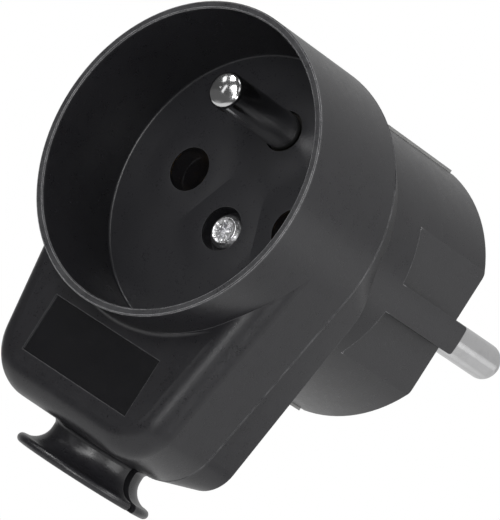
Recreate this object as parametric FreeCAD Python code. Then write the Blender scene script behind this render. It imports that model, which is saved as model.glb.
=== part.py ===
import FreeCAD, Part
import math
import os

# Pass-through plug adapter: a round recessed socket in front, a plug behind, a lead outlet below.
# Millimetres. X to the right seen from the socket, Y from the socket towards the wall, Z up.
# The origin is the middle of the plug's contact face, so sizes along Y are measured from that face.

# Overall layout along Y
overall_depth = 44.4
recess_depth = 14.5
floor_thickness = 2.0
box_setback = 6.3
parting_setback = 17.5
flange_depth = 4.9
flat_length = 16.0
face_thickness = 2.2
wall = 1.8
parting_gap = 0.04
parting_bevel = 0.12

# Collar and recess; its reach is measured from the axis of a contact
collar_reach = 10.9
rim_wall = 0.95
recess_draft = 0.25
rim_bevel = 0.15
recess_foot = 0.3
collar_foot = 0.6

# Box below the collar, seen along Y; its depth and the label's place are measured from the collar
side_angle = 10.3
box_depth = 14.2
box_corner = 7.45
front_round = 3.2
label_width = 19.5
label_height = 7.9
label_gap = 1.4
label_depth = 0.25

# Back of the flange: how far it draws in from the parting plane, as its round top shrinks to the plug
rear_side_angle = 7.85
rear_side_draw = 0.48
rear_bottom_draw = 1.65
rear_corner = 4.75
shoulder_angle = 8.0
shoulder_drop = 5.6
shoulder_pull = 3.2
rear_bevel = 0.2

# Plug body; its reach is measured from the axis of its earth hole, and its flats' from a pin
plug_reach = 7.9
plug_wall = 1.8
face_round = 0.5
flat_reach = 5.9
rib_width = 4.0
rib_corner = 0.9
step_bevel = 0.25

# Trumpet that the lead leaves through, and the clamp above it
lead_radius = 4.85
neck_wall = 1.55
flare_radius = 2.55
neck_length = 0.5
lip_thickness = 1.15
lip_lean = 0.1
lip_bulge = 0.4
neck_foot = 0.7
halves_gap = 1.2
channel_height = 6.5
clamp_side_gap = 0.6
clamp_room = 0.3
clamp_bar_overhang = 2.45
clamp_bar_height = 3.6
clamp_bar_thickness = 2.0
clamp_arch = 0.7
clamp_bite = 0.55
clamp_boss_wall = 1.1
bulge_slope = 2.5

# Pins and contacts
pin_spacing = 19.0
pin_diameter = 4.8
pin_length = 19.0
pin_tip = 1.6
pin_dome = 5.0
pin_root_step = 0.2
pin_collar_radius = 3.3
pin_collar_length = 1.4
earth_offset = 10.0
earth_pin_length = 14.4
earth_pin_tip = 0.9
earth_pin_dome = 4.0
earth_neck_radius = 2.1
earth_neck_length = 0.6
earth_collar_radius = 3.4
earth_collar_length = 1.0
contact_hole_radius = 2.9
guide_wall = 1.0
guide_length = 4.7
guide_gap = 0.3
earth_hole_gap = 0.1
plug_earth_hole_radius = 2.75
sleeve_wall = 0.65
sleeve_slot_width = 0.7
sleeve_slot_length = 9.0
sleeve_mouth = 0.35
spring_thickness = 0.45
spring_width = 3.2
spring_gap_angle = 50.0
spring_setback = 2.0
strip_thickness = 0.8
rivet_radius = 1.75
rivet_head_gap = 0.35
pin_boss_length = 3.8
boss_wall = 1.4
earth_boss_wall = 1.1
earth_sleeve_gap = 0.4

# Link strips from the pins to the terminals
link_width = 4.0
link_drop = 10.0
link_lean = 1.0
link_eye_radius = 3.2
bend_radius = 0.72

# Earth bridge and side strips
bridge_neck = 4.0
bridge_eye_wall = 1.7
bridge_pad = 1.2
bridge_margin = 0.25
side_strip_width = 6.0
side_strip_thickness = 0.75
side_strip_stand = 0.1
side_strip_setback = 1.2
side_strip_room = 0.75

# Terminals; their distance is measured from the collar to their middle
terminal_size = 6.0
terminal_depth = 3.5
terminal_gap = 2.65
earth_terminal_gap = 4.05
stake_radius = 2.2
saddle_thickness = 1.0
saddle_lip = 0.6
saddle_lip_depth = 1.2
barrier_thickness = 1.2

# Screws: shank radius, head radius, head height, length under the head, bevel of the head
terminal_screw = (1.45, 2.4, 1.5, 4.6, 0.8)
clamp_screw = (1.3, 2.3, 1.3, 8.6, 0.8)
centre_screw_size = (1.2, 2.2, 1.7, 10.0, 0.4)
thread_clearance = 0.05
screw_clearance = 0.2
slot_width = 0.7
slot_depth = 0.8
cross_width = 0.8
cross_length = 2.9
head_turn = 25.0

# Centre screw, its pillar and its insert
screw_drop = 4.2
screw_recess_radius = 2.9
head_depth = 0.45
front_boss_radius = 4.2
pillar_radius = 4.4
spigot_radius = 3.0
spigot_length = 1.4
insert_radius = 2.1
insert_length = 8.0
insert_waist = 0.25

# Ring that centres the front shell in the rear one
locating_reach = 0.6
locating_thickness = 0.8
locating_gap = 0.3

# Clearances between pieces
fit = 0.05
seat_gap = 0.15

# How deep a boss is rooted in its wall, how far a cut runs past its piece, and a length past everything
root = 0.5
past = 1.0
far = 100.0

# Radii and places across Y that several pieces share
pin_x = pin_spacing / 2
pin_radius = pin_diameter / 2
root_radius = pin_radius + pin_root_step
sleeve_bore = pin_radius + fit
sleeve_radius = sleeve_bore + sleeve_wall
rivet_head_radius = sleeve_bore - rivet_head_gap
collar_radius = pin_x + collar_reach
plug_radius = earth_offset + plug_reach
flat_half_width = pin_x + flat_reach
neck_radius = lead_radius + neck_wall
box_bottom = collar_radius + box_depth
rear_bottom = box_bottom - rear_bottom_draw
label_drop = collar_radius + label_gap
channel_top_z = -box_bottom + channel_height
terminal_drop = collar_radius + terminal_gap
earth_terminal_drop = collar_radius + earth_terminal_gap
link_x = pin_x - link_lean
link_inset = link_x - terminal_size / 2
side_strip_inner = plug_radius - plug_wall - side_strip_room - side_strip_thickness
clamp_boss_radius = clamp_screw[0] + clamp_boss_wall
clamp_x = lead_radius + clamp_side_gap + clamp_boss_radius
clamp_drop = box_bottom - wall - clamp_room - clamp_screw[1]

# Places along Y that several pieces share
rim_y = -overall_depth
floor_y = rim_y + recess_depth
floor_back_y = floor_y + floor_thickness
box_front_y = rim_y + box_setback
parting_y = rim_y + parting_setback
flange_back_y = parting_y + flange_depth
flange_inside_y = flange_back_y - wall
flat_start_y = -flat_length
face_inside_y = -face_thickness
front_edge_y = parting_y - parting_gap / 2
rear_edge_y = parting_y + parting_gap / 2
pin_boss_y = face_inside_y - pin_boss_length
collar_back_y = pin_boss_y - pin_collar_length
link_plate_y = collar_back_y - strip_thickness
sleeve_base_y = link_plate_y - strip_thickness
plate_front_y = flange_inside_y - strip_thickness
spigot_y = plate_front_y - spigot_length + strip_thickness
guide_end_y = floor_back_y + guide_length
sleeve_mouth_y = guide_end_y + guide_gap
head_seat_y = floor_y + head_depth + centre_screw_size[2] + fit
screw_tip_y = head_seat_y + centre_screw_size[3]
clamp_bar_back_y = parting_y - lead_radius + clamp_bite
terminal_front_y = plate_front_y - terminal_depth
saddle_back_y = terminal_front_y - seat_gap
saddle_lip_y = saddle_back_y + saddle_lip_depth
earth_sleeve_y = face_inside_y - earth_sleeve_gap
slant = math.sqrt(0.5)


def at(x, y, z):
    return FreeCAD.Vector(x, y, z)


def block(x0, x1, y0, y1, z0, z1):
    return Part.makeBox(x1 - x0, y1 - y0, z1 - z0, at(x0, y0, z0))


def rod(radius, y0, y1, x=0.0, z=0.0):
    """Round bar along Y."""
    return Part.makeCylinder(radius, y1 - y0, at(x, y0, z), at(0, 1, 0))


def post(radius, z0, z1, x=0.0, y=0.0):
    """Round bar along Z."""
    return Part.makeCylinder(radius, z1 - z0, at(x, y, z0), at(0, 0, 1))


def tube(outer, inner, y0, y1, x=0.0, z=0.0):
    return rod(outer, y0, y1, x, z).cut(rod(inner, y0 - past, y1 + past, x, z))


def turned(points, x=0.0, z=0.0):
    """Solid turned about an axis along Y; points are (radius, y)."""
    corners = [at(x + r, y, z) for r, y in points]
    face = Part.Face(Part.makePolygon(corners + corners[:1]))
    return face.revolve(at(x, 0, z), at(0, 1, 0), 360)


def joined(first, others):
    return first.fuse(list(others)).removeSplitter()


def mirrored(shape):
    return shape.mirror(at(0, 0, 0), at(1, 0, 0))


def slab(points, y0, y1):
    """Flat plate across Y; points are (x, z)."""
    corners = [at(x, y0, z) for x, z in points]
    face = Part.Face(Part.makePolygon(corners + corners[:1]))
    return face.extrude(at(0, y1 - y0, 0))


# Outline of the body seen along Y, as one closed wire

def side_point(reach, angle, z):
    """Point at height z on the right-hand side line, which lies at a given reach from the axis."""
    drop = (-z - reach * math.sin(angle)) / math.cos(angle)
    return reach * math.cos(angle) - drop * math.sin(angle), z


def outline(y, radius, reach, degrees, bottom, corner, shoulder):
    """Round top, sloping sides and rounded bottom corners.

    The shoulder is the curve from the round top to the side line: an arc where the side is
    tangent to the top, and a soft S where the top is smaller than the body below it.
    """
    angle = math.radians(degrees)
    turn = math.radians(shoulder_angle)
    top_right = (radius * math.cos(turn), radius * math.sin(turn))
    if shoulder is None:
        side_top = (reach * math.cos(angle), -reach * math.sin(angle))
    else:
        side_top = side_point(reach, angle, -shoulder)
    centre_z = corner - bottom
    centre_x = (reach - corner + math.sin(angle) * centre_z) / math.cos(angle)
    side_end = (centre_x + corner * math.cos(angle), centre_z - corner * math.sin(angle))
    half = (math.pi / 2 - angle) / 2 + angle
    corner_mid = (centre_x + corner * math.cos(half), centre_z - corner * math.sin(half))

    def place(point, side):
        return at(side * point[0], y, point[1])

    def shoulder_edge(side):
        if shoulder is None:
            middle = (turn - angle) / 2
            over = (radius * math.cos(middle), radius * math.sin(middle))
            return Part.Arc(place(top_right, side), place(over, side), place(side_top, side)).toShape()
        leave = (top_right[0] + shoulder_pull * math.sin(turn),
                 top_right[1] - shoulder_pull * math.cos(turn))
        arrive = (side_top[0] + shoulder_pull * math.sin(angle),
                  side_top[1] + shoulder_pull * math.cos(angle))
        curve = Part.BezierCurve()
        curve.setPoles([place(p, side) for p in (top_right, leave, arrive, side_top)])
        return curve.toShape()

    def corner_edge(side):
        return Part.Arc(place(side_end, side), place(corner_mid, side),
                        at(side * centre_x, y, -bottom)).toShape()

    edges = [
        Part.Arc(place(top_right, -1), at(0, y, radius), place(top_right, 1)).toShape(),
        shoulder_edge(1),
        Part.LineSegment(place(side_top, 1), place(side_end, 1)).toShape(),
        corner_edge(1),
        Part.LineSegment(at(centre_x, y, -bottom), at(-centre_x, y, -bottom)).toShape(),
        corner_edge(-1),
        Part.LineSegment(place(side_end, -1), place(side_top, -1)).toShape(),
        shoulder_edge(-1),
    ]
    return Part.Wire(edges)


def parting_outline(y, inset=0.0):
    return outline(y, collar_radius - inset, collar_radius - inset, side_angle,
                   box_bottom - inset, box_corner - inset, None)


def rear_outline(y, inset=0.0):
    reach = collar_radius - rear_side_draw
    return outline(y, plug_radius - inset, reach - inset, rear_side_angle,
                   rear_bottom - inset, rear_corner - inset, shoulder_drop)


def prism(wire, length):
    return Part.Face(wire).extrude(at(0, length, 0))


# Trumpet: one profile turned about the lead's axis, then split between the shells

def trumpet_outside(top_z):
    """Solid horn from top_z down to the lip, with a rounded foot under the box."""
    foot_z = -box_bottom - neck_foot
    flare_z = foot_z - neck_length
    flare_x = neck_radius + flare_radius
    lip_z = flare_z - flare_radius
    lip_radius = flare_x + lip_lean
    foot_mid = at(neck_radius + neck_foot * (1 - slant), parting_y, foot_z + neck_foot * slant)
    flare_mid = at(flare_x - flare_radius * slant, parting_y, flare_z - flare_radius * slant)
    points = [
        at(0, parting_y, top_z),
        at(neck_radius + neck_foot, parting_y, top_z),
        at(neck_radius + neck_foot, parting_y, -box_bottom),
        at(neck_radius, parting_y, foot_z),
        at(neck_radius, parting_y, flare_z),
        at(flare_x, parting_y, lip_z),
        at(lip_radius, parting_y, lip_z - lip_thickness),
        at(0, parting_y, lip_z - lip_thickness),
    ]
    lip_mid = at(lip_radius + lip_bulge, parting_y, lip_z - lip_thickness / 2)
    edges = [
        Part.LineSegment(points[0], points[1]).toShape(),
        Part.LineSegment(points[1], points[2]).toShape(),
        Part.Arc(points[2], foot_mid, points[3]).toShape(),
        Part.LineSegment(points[3], points[4]).toShape(),
        Part.Arc(points[4], flare_mid, points[5]).toShape(),
        Part.Arc(points[5], lip_mid, points[6]).toShape(),
        Part.LineSegment(points[6], points[7]).toShape(),
        Part.LineSegment(points[7], points[0]).toShape(),
    ]
    return Part.Face(Part.Wire(edges)).revolve(at(0, parting_y, 0), at(0, 0, 1), 360)


def trumpet_bore(top_z):
    """Lead's way through: straight, then flaring with the horn."""
    flare_z = -box_bottom - neck_foot - neck_length
    centre_x = neck_radius + flare_radius
    bend = centre_x - lead_radius
    end_z = flare_z - flare_radius - lip_thickness
    end_drop = flare_z - end_z
    end_x = centre_x - math.sqrt(bend ** 2 - end_drop ** 2)
    half = math.asin(end_drop / bend) / 2
    middle = at(centre_x - bend * math.cos(half), parting_y, flare_z - bend * math.sin(half))
    points = [
        at(0, parting_y, top_z),
        at(lead_radius, parting_y, top_z),
        at(lead_radius, parting_y, flare_z),
        at(end_x, parting_y, end_z),
        at(0, parting_y, end_z),
    ]
    edges = [
        Part.LineSegment(points[0], points[1]).toShape(),
        Part.LineSegment(points[1], points[2]).toShape(),
        Part.Arc(points[2], middle, points[3]).toShape(),
        Part.LineSegment(points[3], points[4]).toShape(),
        Part.LineSegment(points[4], points[0]).toShape(),
    ]
    return Part.Face(Part.Wire(edges)).revolve(at(0, parting_y, 0), at(0, 0, 1), 360)


def half_space(side):
    """Everything in front of (-1) or behind (1) the gap between the trumpet's halves."""
    start = parting_y + side * halves_gap / 2
    y0, y1 = sorted((start, start + side * far))
    return block(-far, far, y0, y1, -far, far)


# Front shell

def recess_space():
    """Tapered recess with a rounded foot at its floor."""
    mouth = collar_radius - rim_wall
    foot = mouth - recess_draft
    slope = recess_draft / recess_depth
    start_y = rim_y - past
    foot_y = floor_y - recess_foot
    wall_x = foot + slope * recess_foot
    middle = at(foot - recess_foot * (1 - slant), floor_y - recess_foot * (1 - slant), 0)
    points = [
        at(0, start_y, 0),
        at(mouth + rim_bevel + slope, start_y, 0),
        at(mouth + rim_bevel, rim_y, 0),
        at(mouth, rim_y + rim_bevel, 0),
        at(wall_x, foot_y, 0),
        at(foot - recess_foot, floor_y, 0),
        at(0, floor_y, 0),
    ]
    edges = [
        Part.LineSegment(points[0], points[1]).toShape(),
        Part.LineSegment(points[1], points[2]).toShape(),
        Part.LineSegment(points[2], points[3]).toShape(),
        Part.LineSegment(points[3], points[4]).toShape(),
        Part.Arc(points[4], middle, points[5]).toShape(),
        Part.LineSegment(points[5], points[6]).toShape(),
        Part.LineSegment(points[6], points[0]).toShape(),
    ]
    return Part.Face(Part.Wire(edges)).revolve(at(0, 0, 0), at(0, 1, 0), 360)


def collar_body():
    """Outside of the collar, bevelled at the rim and at the parting plane."""
    return turned([
        (0, rim_y),
        (collar_radius - rim_bevel, rim_y),
        (collar_radius, rim_y + rim_bevel),
        (collar_radius, front_edge_y - parting_bevel),
        (collar_radius - parting_bevel, front_edge_y),
        (0, front_edge_y),
    ])


def box_body():
    """Box below the collar, with its front edges rounded over."""
    straight = front_edge_y - parting_bevel - box_front_y
    body = prism(parting_outline(box_front_y), straight)
    front_edges = [e for e in body.Edges if abs(e.BoundBox.YMax - box_front_y) < 0.01]
    body = body.makeFillet(front_round, front_edges)
    bevel = Part.makeLoft([parting_outline(front_edge_y - parting_bevel),
                           parting_outline(front_edge_y, parting_bevel)], True, True)
    return body.fuse(bevel)


def collar_fillet():
    """Small concave ring where the collar stands on the box, fading out towards the rounded edges."""
    outer = collar_radius + collar_foot
    middle = at(outer - collar_foot * slant, box_front_y - collar_foot * (1 - slant), 0)
    inner = collar_radius - root
    points = [
        at(inner, box_front_y - collar_foot, 0),
        at(collar_radius, box_front_y - collar_foot, 0),
        at(outer, box_front_y, 0),
        at(outer, box_front_y + root, 0),
        at(inner, box_front_y + root, 0),
    ]
    edges = [
        Part.LineSegment(points[0], points[1]).toShape(),
        Part.Arc(points[1], middle, points[2]).toShape(),
        Part.LineSegment(points[2], points[3]).toShape(),
        Part.LineSegment(points[3], points[4]).toShape(),
        Part.LineSegment(points[4], points[0]).toShape(),
    ]
    ring = Part.Face(Part.Wire(edges)).revolve(at(0, 0, 0), at(0, 1, 0), 360)
    inside = prism(parting_outline(box_front_y - past, front_round), 2 * past)
    lean = math.radians(side_angle) + math.acos((collar_radius - front_round) / outer)
    fade_end = outer * math.cos(lean) - collar_foot
    fade_start = fade_end / 3
    fades = []
    for side in (-1, 1):
        corners = [
            (side * fade_start, box_front_y - collar_foot),
            (side * fade_start, box_front_y - past),
            (side * far, box_front_y - past),
            (side * far, box_front_y),
            (side * fade_end, box_front_y),
        ]
        points = [at(x, y, -far) for x, y in corners]
        fades.append(Part.Face(Part.makePolygon(points + points[:1])).extrude(at(0, 0, far)))
    return ring.common(inside).cut(fades)


def locating_ring():
    """Half ring behind the recess floor that reaches just inside the rear shell's tapering wall."""
    taper = (collar_radius - plug_radius) * locating_reach / (flange_inside_y - rear_edge_y)
    outer = collar_radius - wall - taper - locating_gap
    ring = tube(outer, outer - locating_thickness, floor_y + root, parting_y + locating_reach)
    return ring.cut(block(-far, far, -far, far, -far, 0))


def front_shell():
    shell = collar_body().fuse([box_body(), collar_fillet()])
    horn = trumpet_outside(-box_bottom + wall).common(half_space(-1))
    collar_core = rod(collar_radius, rim_y - past, floor_back_y)
    chamber_front = box_front_y + wall
    chamber = prism(parting_outline(chamber_front, wall), parting_y + past - chamber_front)
    label = block(-label_width / 2, label_width / 2, box_front_y - past, box_front_y + label_depth,
                  -label_drop - label_height, -label_drop)
    shell = shell.fuse(horn)
    shell = shell.cut([recess_space(), chamber.cut(collar_core), trumpet_bore(channel_top_z), label])
    boss = rod(front_boss_radius, floor_y + root, spigot_y - seat_gap, 0, -screw_drop)
    guides = [rod(contact_hole_radius + guide_wall, floor_y + root, guide_end_y, side * pin_x)
              for side in (-1, 1)]
    shell = shell.fuse([boss, locating_ring()] + guides)
    floor_holes = [rod(contact_hole_radius, floor_y - past, guide_end_y + past, side * pin_x)
                   for side in (-1, 1)]
    return shell.cut(floor_holes + [
        rod(root_radius + earth_hole_gap, floor_y - past, floor_back_y + past, 0, earth_offset),
        rod(screw_recess_radius, floor_y - past, head_seat_y, 0, -screw_drop),
        rod(centre_screw_size[0] + screw_clearance, head_seat_y - past, spigot_y + past, 0, -screw_drop),
    ]).removeSplitter()


# Rear shell

def plug_body():
    """Round plug body with a rounded face edge, two flats and a rib on each side, and strip grooves."""
    inner_y = flange_back_y - flange_depth / 2
    arc_mid = at(plug_radius - face_round * (1 - slant), -face_round * (1 - slant), 0)
    points = [at(0, inner_y, 0), at(plug_radius, inner_y, 0), at(plug_radius, -face_round, 0),
              at(plug_radius - face_round, 0, 0), at(0, 0, 0)]
    edges = [
        Part.LineSegment(points[0], points[1]).toShape(),
        Part.LineSegment(points[1], points[2]).toShape(),
        Part.Arc(points[2], arc_mid, points[3]).toShape(),
        Part.LineSegment(points[3], points[4]).toShape(),
        Part.LineSegment(points[4], points[0]).toShape(),
    ]
    body = Part.Face(Part.Wire(edges)).revolve(at(0, 0, 0), at(0, 1, 0), 360)
    cuts = [step_bevels()] + rib_corners()
    groove_floor = plug_radius + side_strip_stand - side_strip_thickness - fit
    half = side_strip_width / 2 + fit
    for side in (-1, 1):
        for level in (-1, 1):
            x0, x1 = sorted((side * flat_half_width, side * far))
            z0, z1 = sorted((level * rib_width / 2, level * far))
            cuts.append(block(x0, x1, flat_start_y, past, z0, z1))
        z0, z1 = sorted((side * groove_floor, side * far))
        cuts.append(block(-half, half, flat_start_y - side_strip_thickness - fit, past, z0, z1))
    return body.cut(cuts)


def rib_corners():
    """What the rounded corners of the ribs take off at the face, seen from the side."""
    half = rib_width / 2
    centre = half - rib_corner
    cuts = []
    for side in (-1, 1):
        x0, x1 = sorted((side * flat_half_width, side * far))
        for level in (-1, 1):
            z0, z1 = sorted((level * centre, level * (half + past)))
            corner = block(x0, x1, -rib_corner, past, z0, z1)
            round_edge = Part.makeCylinder(rib_corner, x1 - x0, at(x0, -rib_corner, level * centre),
                                           at(1, 0, 0))
            cuts.append(corner.cut(round_edge))
    return cuts


def step_bevels():
    """Small bevel on the body's edge in front of each flat, but not across the ribs."""
    ring = turned([
        (plug_radius - step_bevel, flat_start_y),
        (plug_radius + past, flat_start_y - step_bevel - past),
        (plug_radius + past, flat_start_y),
    ])
    reach = math.sqrt(plug_radius ** 2 - flat_half_width ** 2)
    return ring.cut([
        block(-far, far, -far, far, -rib_width / 2, rib_width / 2),
        block(-far, far, -far, far, reach, far),
        block(-far, far, -far, far, -far, -reach),
    ])


def flange_body():
    return Part.makeLoft([
        parting_outline(rear_edge_y, parting_bevel),
        parting_outline(rear_edge_y + parting_bevel),
        rear_outline(flange_back_y - rear_bevel),
        rear_outline(flange_back_y, rear_bevel),
    ], True, True)


def lead_bulge():
    """Back of the lead's channel, where it stands out behind the flange."""
    top_z = channel_top_z + wall
    bulge = post(neck_radius, -box_bottom - neck_foot, top_z, 0, parting_y)
    slope = Part.makeCone(neck_radius, neck_radius - bulge_slope, bulge_slope,
                          at(0, parting_y, top_z), at(0, 0, 1))
    return bulge.fuse(slope).common(half_space(1))


def rear_cavities():
    start_y = parting_y - past
    flange = Part.makeLoft([parting_outline(start_y, wall), parting_outline(rear_edge_y, wall),
                            rear_outline(flange_inside_y, wall)], True, True)
    plug = rod(plug_radius - plug_wall, start_y, face_inside_y)
    inner_half = flat_half_width - plug_wall
    for x0, x1 in ((-far, -inner_half), (inner_half, far)):
        plug = plug.cut(block(x0, x1, flat_start_y - plug_wall, past, -far, far))
    return [flange, plug, trumpet_bore(channel_top_z)]


def rear_bosses():
    """Screw pillar with its spigot, bosses of pins, sleeve and clamp, and ribs between terminals."""
    boss_end = face_inside_y + root
    wall_end = flange_inside_y + root
    rib_x = link_inset / 2 + terminal_size / 4
    rib_half = barrier_thickness / 2
    bosses = [
        rod(pillar_radius, flange_inside_y, boss_end, 0, -screw_drop),
        rod(spigot_radius, spigot_y, wall_end, 0, -screw_drop),
        rod(sleeve_radius + fit + earth_boss_wall, pin_boss_y, boss_end, 0, earth_offset),
    ]
    for side in (-1, 1):
        bosses.append(rod(root_radius + boss_wall, pin_boss_y, boss_end, side * pin_x))
        bosses.append(rod(clamp_boss_radius, clamp_bar_back_y + seat_gap, wall_end,
                          side * clamp_x, -clamp_drop))
        bosses.append(block(side * rib_x - rib_half, side * rib_x + rib_half,
                            saddle_lip_y + seat_gap, wall_end,
                            channel_top_z + seat_gap, -plug_radius))
    return bosses


def rear_holes():
    slot_y = flat_start_y - side_strip_thickness - fit
    half = side_strip_width / 2 + fit
    holes = [
        rod(plug_earth_hole_radius, face_inside_y - past, past, 0, earth_offset),
        rod(sleeve_radius + fit, pin_boss_y - past, earth_sleeve_y + seat_gap, 0, earth_offset),
        rod(insert_radius + fit, spigot_y - past, spigot_y + insert_length + fit, 0, -screw_drop),
        rod(centre_screw_size[0] + screw_clearance, spigot_y, screw_tip_y + seat_gap, 0, -screw_drop),
    ]
    for side in (-1, 1):
        z0, z1 = sorted((side * (plug_radius - plug_wall - past), side * (plug_radius + past)))
        holes.append(block(-half, half, slot_y, flat_start_y + fit, z0, z1))
        holes.append(rod(root_radius + fit, pin_boss_y - past, past, side * pin_x))
        holes.append(rod(clamp_screw[0] + thread_clearance, clamp_bar_back_y - past, flange_inside_y,
                         side * clamp_x, -clamp_drop))
    return holes


def rear_shell():
    horn = trumpet_outside(-box_bottom + root).common(half_space(1))
    shell = flange_body().fuse([plug_body(), horn, lead_bulge()])
    shell = shell.cut(rear_cavities())
    shell = shell.fuse(rear_bosses())
    return shell.cut(rear_holes()).removeSplitter()


# Pins and contacts

def pin_profile(tip_y, back_y, radius, corner, dome, steps):
    """Round pin along Y with a slightly domed tip; steps are (radius, y) corners behind the shank.

    The dome and the rounded corner are arcs that run smoothly into each other and the shank.
    """
    direction = 1 if back_y > tip_y else -1
    rise = math.sqrt((dome - corner) ** 2 - (radius - corner) ** 2)
    lean = math.atan2(radius - corner, rise)

    def on_dome(angle):
        return at(dome * math.sin(angle), tip_y + direction * dome * (1 - math.cos(angle)), 0)

    def on_corner(angle):
        return at(radius - corner + corner * math.sin(angle),
                  tip_y + direction * (dome - rise - corner * math.cos(angle)), 0)

    corners = [on_corner(math.pi / 2), at(radius, back_y, 0)]
    corners += [at(r, y, 0) for r, y in steps]
    corners.append(at(0, steps[-1][1], 0))
    edges = [Part.Arc(on_dome(0), on_dome(lean / 2), on_dome(lean)).toShape(),
             Part.Arc(on_dome(lean), on_corner((lean + math.pi / 2) / 2), corners[0]).toShape()]
    edges += [Part.LineSegment(a, b).toShape() for a, b in zip(corners, corners[1:])]
    edges.append(Part.LineSegment(corners[-1], on_dome(0)).toShape())
    return Part.Face(Part.Wire(edges)).revolve(at(0, 0, 0), at(0, 1, 0), 360)


def plug_pin():
    """Right plug pin: thicker inside its boss, with a collar behind it and a countersunk rivet end."""
    pin = pin_profile(pin_length, 0, pin_radius, pin_tip, pin_dome, [
        (root_radius, 0),
        (root_radius, pin_boss_y),
        (pin_collar_radius, pin_boss_y),
        (pin_collar_radius, collar_back_y),
        (rivet_radius, collar_back_y),
        (rivet_radius, link_plate_y),
        (rivet_head_radius, sleeve_base_y),
    ])
    pin.translate(at(pin_x, 0, 0))
    return pin


def socket_earth_pin():
    """Earth pin of the socket: a neck and a thicker root behind the recess floor, then its collar."""
    collar_y = plate_front_y - earth_collar_length
    root_y = floor_y + earth_neck_length
    pin = pin_profile(floor_y - earth_pin_length, floor_y, pin_radius, earth_pin_tip, earth_pin_dome, [
        (earth_neck_radius, floor_y),
        (earth_neck_radius, root_y),
        (root_radius, root_y),
        (root_radius, collar_y),
        (earth_collar_radius, collar_y),
        (earth_collar_radius, plate_front_y),
        (rivet_radius, plate_front_y),
        (rivet_radius, flange_inside_y),
        (rivet_head_radius, flange_inside_y + strip_thickness),
    ])
    pin.translate(at(0, 0, earth_offset))
    return pin


def slotted_sleeve(mouth_y, base_y):
    """Contact tube on the Y axis: four spring fingers at its mouth, a countersunk hole in its base."""
    inward = 1 if base_y > mouth_y else -1
    floor = base_y - inward * strip_thickness
    sleeve = turned([
        (sleeve_bore + sleeve_mouth, mouth_y),
        (sleeve_radius, mouth_y),
        (sleeve_radius, base_y),
        (rivet_radius + fit, base_y),
        (rivet_head_radius + fit, floor),
        (sleeve_bore, floor),
        (sleeve_bore, mouth_y + inward * sleeve_mouth),
    ])
    y0, y1 = sorted((mouth_y - inward * past, mouth_y + inward * sleeve_slot_length))
    half = sleeve_slot_width / 2
    reach = sleeve_radius + past
    slots = [block(-reach, reach, y0, y1, -half, half), block(-half, half, y0, y1, -reach, reach)]
    for slot in slots:
        slot.rotate(at(0, 0, 0), at(0, 1, 0), 45)
    return sleeve.cut(slots)


def contact_sleeve():
    sleeve = slotted_sleeve(sleeve_mouth_y, link_plate_y)
    sleeve.translate(at(pin_x, 0, 0))
    return sleeve


def plug_earth_sleeve():
    sleeve = slotted_sleeve(earth_sleeve_y, flange_inside_y)
    sleeve.translate(at(0, 0, earth_offset))
    return sleeve


def contact_spring():
    """Spring clip that closes the sleeve's fingers, open at its lower side."""
    y0 = sleeve_mouth_y + spring_setback
    inner = sleeve_radius + fit
    clip = tube(inner + spring_thickness, inner, y0, y0 + spring_width)
    half = math.radians(spring_gap_angle / 2)
    reach = 2 * inner
    gap = slab([(0, 0), (-reach * math.sin(half), -reach), (reach * math.sin(half), -reach)],
               y0 - past, y0 + spring_width + past)
    clip = clip.cut(gap)
    clip.translate(at(pin_x, 0, 0))
    return clip


# Strips

def contact_link():
    """Strip riveted under the pin, run forward below the sleeve, then down to the terminal."""
    left = link_inset
    right = link_inset + link_width
    low = -link_drop - strip_thickness
    eye = rod(link_eye_radius, link_plate_y, collar_back_y, pin_x)
    leg = block(left, right, link_plate_y, collar_back_y, low, 0)
    run = block(left, right, plate_front_y, collar_back_y, low, -link_drop)
    down = block(left, right, plate_front_y, flange_inside_y, -terminal_drop, -link_drop)
    half = terminal_size / 2
    tab = block(link_x - half, link_x + half, plate_front_y, flange_inside_y,
                -terminal_drop - half, -terminal_drop + half)
    strip = joined(eye, [leg, run, down, tab])
    bends = [e for e in strip.Edges if bend_edge(e, low)]
    strip = strip.makeFillet(bend_radius, bends)
    return strip.cut([
        rod(rivet_radius + fit, link_plate_y - past, collar_back_y + past, pin_x),
        rod(stake_radius + fit, plate_front_y - past, flange_inside_y + past, link_x, -terminal_drop),
    ])


def bend_edge(edge, low):
    """True for the outer edges of the link's two bends."""
    box = edge.BoundBox
    across = box.XLength > link_width * 0.9 and box.YLength < 0.01 and box.ZLength < 0.01
    back = abs(box.YMin - collar_back_y) < 0.01 and abs(box.ZMin - low) < 0.01
    front = abs(box.YMin - plate_front_y) < 0.01 and abs(box.ZMin + link_drop) < 0.01
    return across and (back or front)


def bridge_plate(x0, x1, z0, z1):
    return block(x0, x1, plate_front_y, flange_inside_y, z0, z1)


def bridge_disc(radius, z, extra=0.0):
    return rod(radius, plate_front_y - extra, flange_inside_y + extra, 0, z)


def earth_bridge():
    """Plate joining earth pin, side strips and earth terminal, with an eye round the screw pillar."""
    half = bridge_neck / 2
    wide = side_strip_width / 2
    tab = terminal_size / 2
    top_z = side_strip_inner + side_strip_thickness + bridge_margin
    plate = joined(bridge_disc(earth_collar_radius, earth_offset), [
        bridge_disc(spigot_radius + bridge_eye_wall, -screw_drop),
        bridge_plate(-half, half, -earth_terminal_drop, top_z),
        bridge_plate(-wide, wide, side_strip_inner - bridge_pad, top_z),
        bridge_plate(-wide, wide, -top_z, -side_strip_inner + bridge_pad),
        bridge_plate(-tab, tab, -earth_terminal_drop - tab, -earth_terminal_drop + tab),
    ])
    return plate.cut([
        bridge_disc(rivet_radius + fit, earth_offset, past),
        bridge_disc(spigot_radius + fit, -screw_drop, past),
        bridge_disc(stake_radius + fit, -earth_terminal_drop, past),
    ])


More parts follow.
